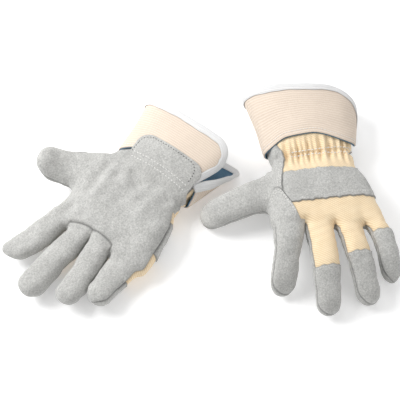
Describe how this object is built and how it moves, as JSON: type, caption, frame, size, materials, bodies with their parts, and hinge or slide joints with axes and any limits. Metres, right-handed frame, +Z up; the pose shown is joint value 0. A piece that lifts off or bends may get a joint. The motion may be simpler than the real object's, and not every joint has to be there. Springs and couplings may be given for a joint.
{
  "type": "gardening gloves",
  "caption": "Leather-palmed gardening gloves with cotton drill backs and stiff lined safety cuffs, lying loose side by side, one palm up and one palm down.",
  "frame": {"origin": "centre of the bounding box on the surface that the gloves lie on", "axes": "+Z up; +X from the palm-up right-hand glove to the palm-down left-hand glove; the fingers point towards -Y and the cuffs towards +Y"},
  "size_m": [0.4059, 0.2579, 0.0554],
  "materials": {
    "grey_leather": "grey split leather with a short suede nap",
    "cream_drill": "cream cotton drill with a fine diagonal twill",
    "cuff_canvas": "stiff rubberised cotton canvas, pale peach, ribbed",
    "blue_lining": "plain steel-blue cotton lining",
    "white_tape": "white woven binding tape",
    "palm_cotton": "natural cotton palm lining",
    "elastic": "woven elastic band"
  },
  "bodies": {
    "right_hand": {"right_back_drill": "cream_drill", "right_index_root": "grey_leather", "right_knuckle_strap": "grey_leather", "right_palm_leather": "grey_leather", "right_palm_lining": "palm_cotton"},
    "right_cuff": {"right_cuff_binding": "white_tape", "right_cuff_canvas": "cuff_canvas", "right_cuff_lining": "blue_lining", "right_pulse_patch": "grey_leather", "right_wrist_drill": "cream_drill", "right_wrist_elastic": "elastic", "right_wrist_leather": "grey_leather"},
    "right_thumb": {"right_thumb_back": "grey_leather", "right_thumb_front": "grey_leather"},
    "right_index": {"right_index_back": "grey_leather", "right_index_front": "grey_leather"},
    "right_middle": {"right_middle_back_drill": "cream_drill", "right_middle_front": "grey_leather", "right_middle_tip": "grey_leather"},
    "right_ring": {"right_ring_back_drill": "cream_drill", "right_ring_front": "grey_leather", "right_ring_tip": "grey_leather"},
    "right_little": {"right_little_back_drill": "cream_drill", "right_little_front": "grey_leather", "right_little_tip": "grey_leather"},
    "left_hand": {"left_back_drill": "cream_drill", "left_index_root": "grey_leather", "left_knuckle_strap": "grey_leather", "left_palm_leather": "grey_leather", "left_palm_lining": "palm_cotton"},
    "left_cuff": {"left_cuff_binding": "white_tape", "left_cuff_canvas": "cuff_canvas", "left_cuff_lining": "blue_lining", "left_pulse_patch": "grey_leather", "left_wrist_drill": "cream_drill", "left_wrist_elastic": "elastic", "left_wrist_leather": "grey_leather"},
    "left_thumb": {"left_thumb_back": "grey_leather", "left_thumb_front": "grey_leather"},
    "left_index": {"left_index_back": "grey_leather", "left_index_front": "grey_leather"},
    "left_middle": {"left_middle_back_drill": "cream_drill", "left_middle_front": "grey_leather", "left_middle_tip": "grey_leather"},
    "left_ring": {"left_ring_back_drill": "cream_drill", "left_ring_front": "grey_leather", "left_ring_tip": "grey_leather"},
    "left_little": {"left_little_back_drill": "cream_drill", "left_little_front": "grey_leather", "left_little_tip": "grey_leather"}
  },
  "joints": [
    {"name": "right_thumb_bend", "type": "hinge", "parent": "right_hand", "child": "right_thumb", "pos_m": [-0.10894, 0.02275, 0.024], "axis": [0.2079, 0.9781, 0], "range_deg": [-10, 50], "stiffness_Nm_per_rad": 0.2},
    {"name": "right_index_bend", "type": "hinge", "parent": "right_hand", "child": "right_index", "pos_m": [-0.14627, -0.02182, 0.0175], "axis": [-0.809, 0.5878, 0], "range_deg": [-10, 60], "stiffness_Nm_per_rad": 0.2},
    {"name": "right_middle_bend", "type": "hinge", "parent": "right_hand", "child": "right_middle", "pos_m": [-0.12426, -0.03781, 0.0175], "axis": [-0.809, 0.5878, 0], "range_deg": [-10, 60], "stiffness_Nm_per_rad": 0.2},
    {"name": "right_ring_bend", "type": "hinge", "parent": "right_hand", "child": "right_ring", "pos_m": [-0.10282, -0.05338, 0.0175], "axis": [-0.809, 0.5878, 0], "range_deg": [-10, 60], "stiffness_Nm_per_rad": 0.2},
    {"name": "right_little_bend", "type": "hinge", "parent": "right_hand", "child": "right_little", "pos_m": [-0.07782, -0.07155, 0.0175], "axis": [-0.809, 0.5878, 0], "range_deg": [-10, 60], "stiffness_Nm_per_rad": 0.2},
    {"name": "right_wrist_bend", "type": "hinge", "parent": "right_hand", "child": "right_cuff", "pos_m": [-0.0596, 0.0141, 0.02], "axis": [0.809, -0.5878, 0], "range_deg": [-20, 20], "stiffness_Nm_per_rad": 0.6},
    {"name": "left_thumb_bend", "type": "hinge", "parent": "left_hand", "child": "left_thumb", "pos_m": [0.07565, 0.00563, 0.0235], "axis": [0.3746, -0.9272, 0], "range_deg": [-10, 50], "stiffness_Nm_per_rad": 0.2},
    {"name": "left_index_bend", "type": "hinge", "parent": "left_hand", "child": "left_index", "pos_m": [0.08841, -0.04297, 0.0305], "axis": [0.9877, 0.1564, 0], "range_deg": [-10, 60], "stiffness_Nm_per_rad": 0.2},
    {"name": "left_middle_bend", "type": "hinge", "parent": "left_hand", "child": "left_middle", "pos_m": [0.11952, -0.03805, 0.0305], "axis": [0.9877, 0.1564, 0], "range_deg": [-10, 60], "stiffness_Nm_per_rad": 0.2},
    {"name": "left_ring_bend", "type": "hinge", "parent": "left_hand", "child": "left_ring", "pos_m": [0.14895, -0.03338, 0.0305], "axis": [0.9877, 0.1564, 0], "range_deg": [-10, 60], "stiffness_Nm_per_rad": 0.2},
    {"name": "left_little_bend", "type": "hinge", "parent": "left_hand", "child": "left_little", "pos_m": [0.17394, -0.02942, 0.0305], "axis": [0.9877, 0.1564, 0], "range_deg": [-10, 60], "stiffness_Nm_per_rad": 0.2},
    {"name": "left_wrist_bend", "type": "hinge", "parent": "left_hand", "child": "left_cuff", "pos_m": [0.1154, 0.0423, 0.024], "axis": [-0.9877, -0.1564, 0], "range_deg": [-20, 20], "stiffness_Nm_per_rad": 0.6},
    {"name": "left_glove_lift", "type": "slide", "parent": "right_hand", "child": "left_hand", "axis": [0, 0, 1], "range_m": [0, 0.2]}
  ]
}
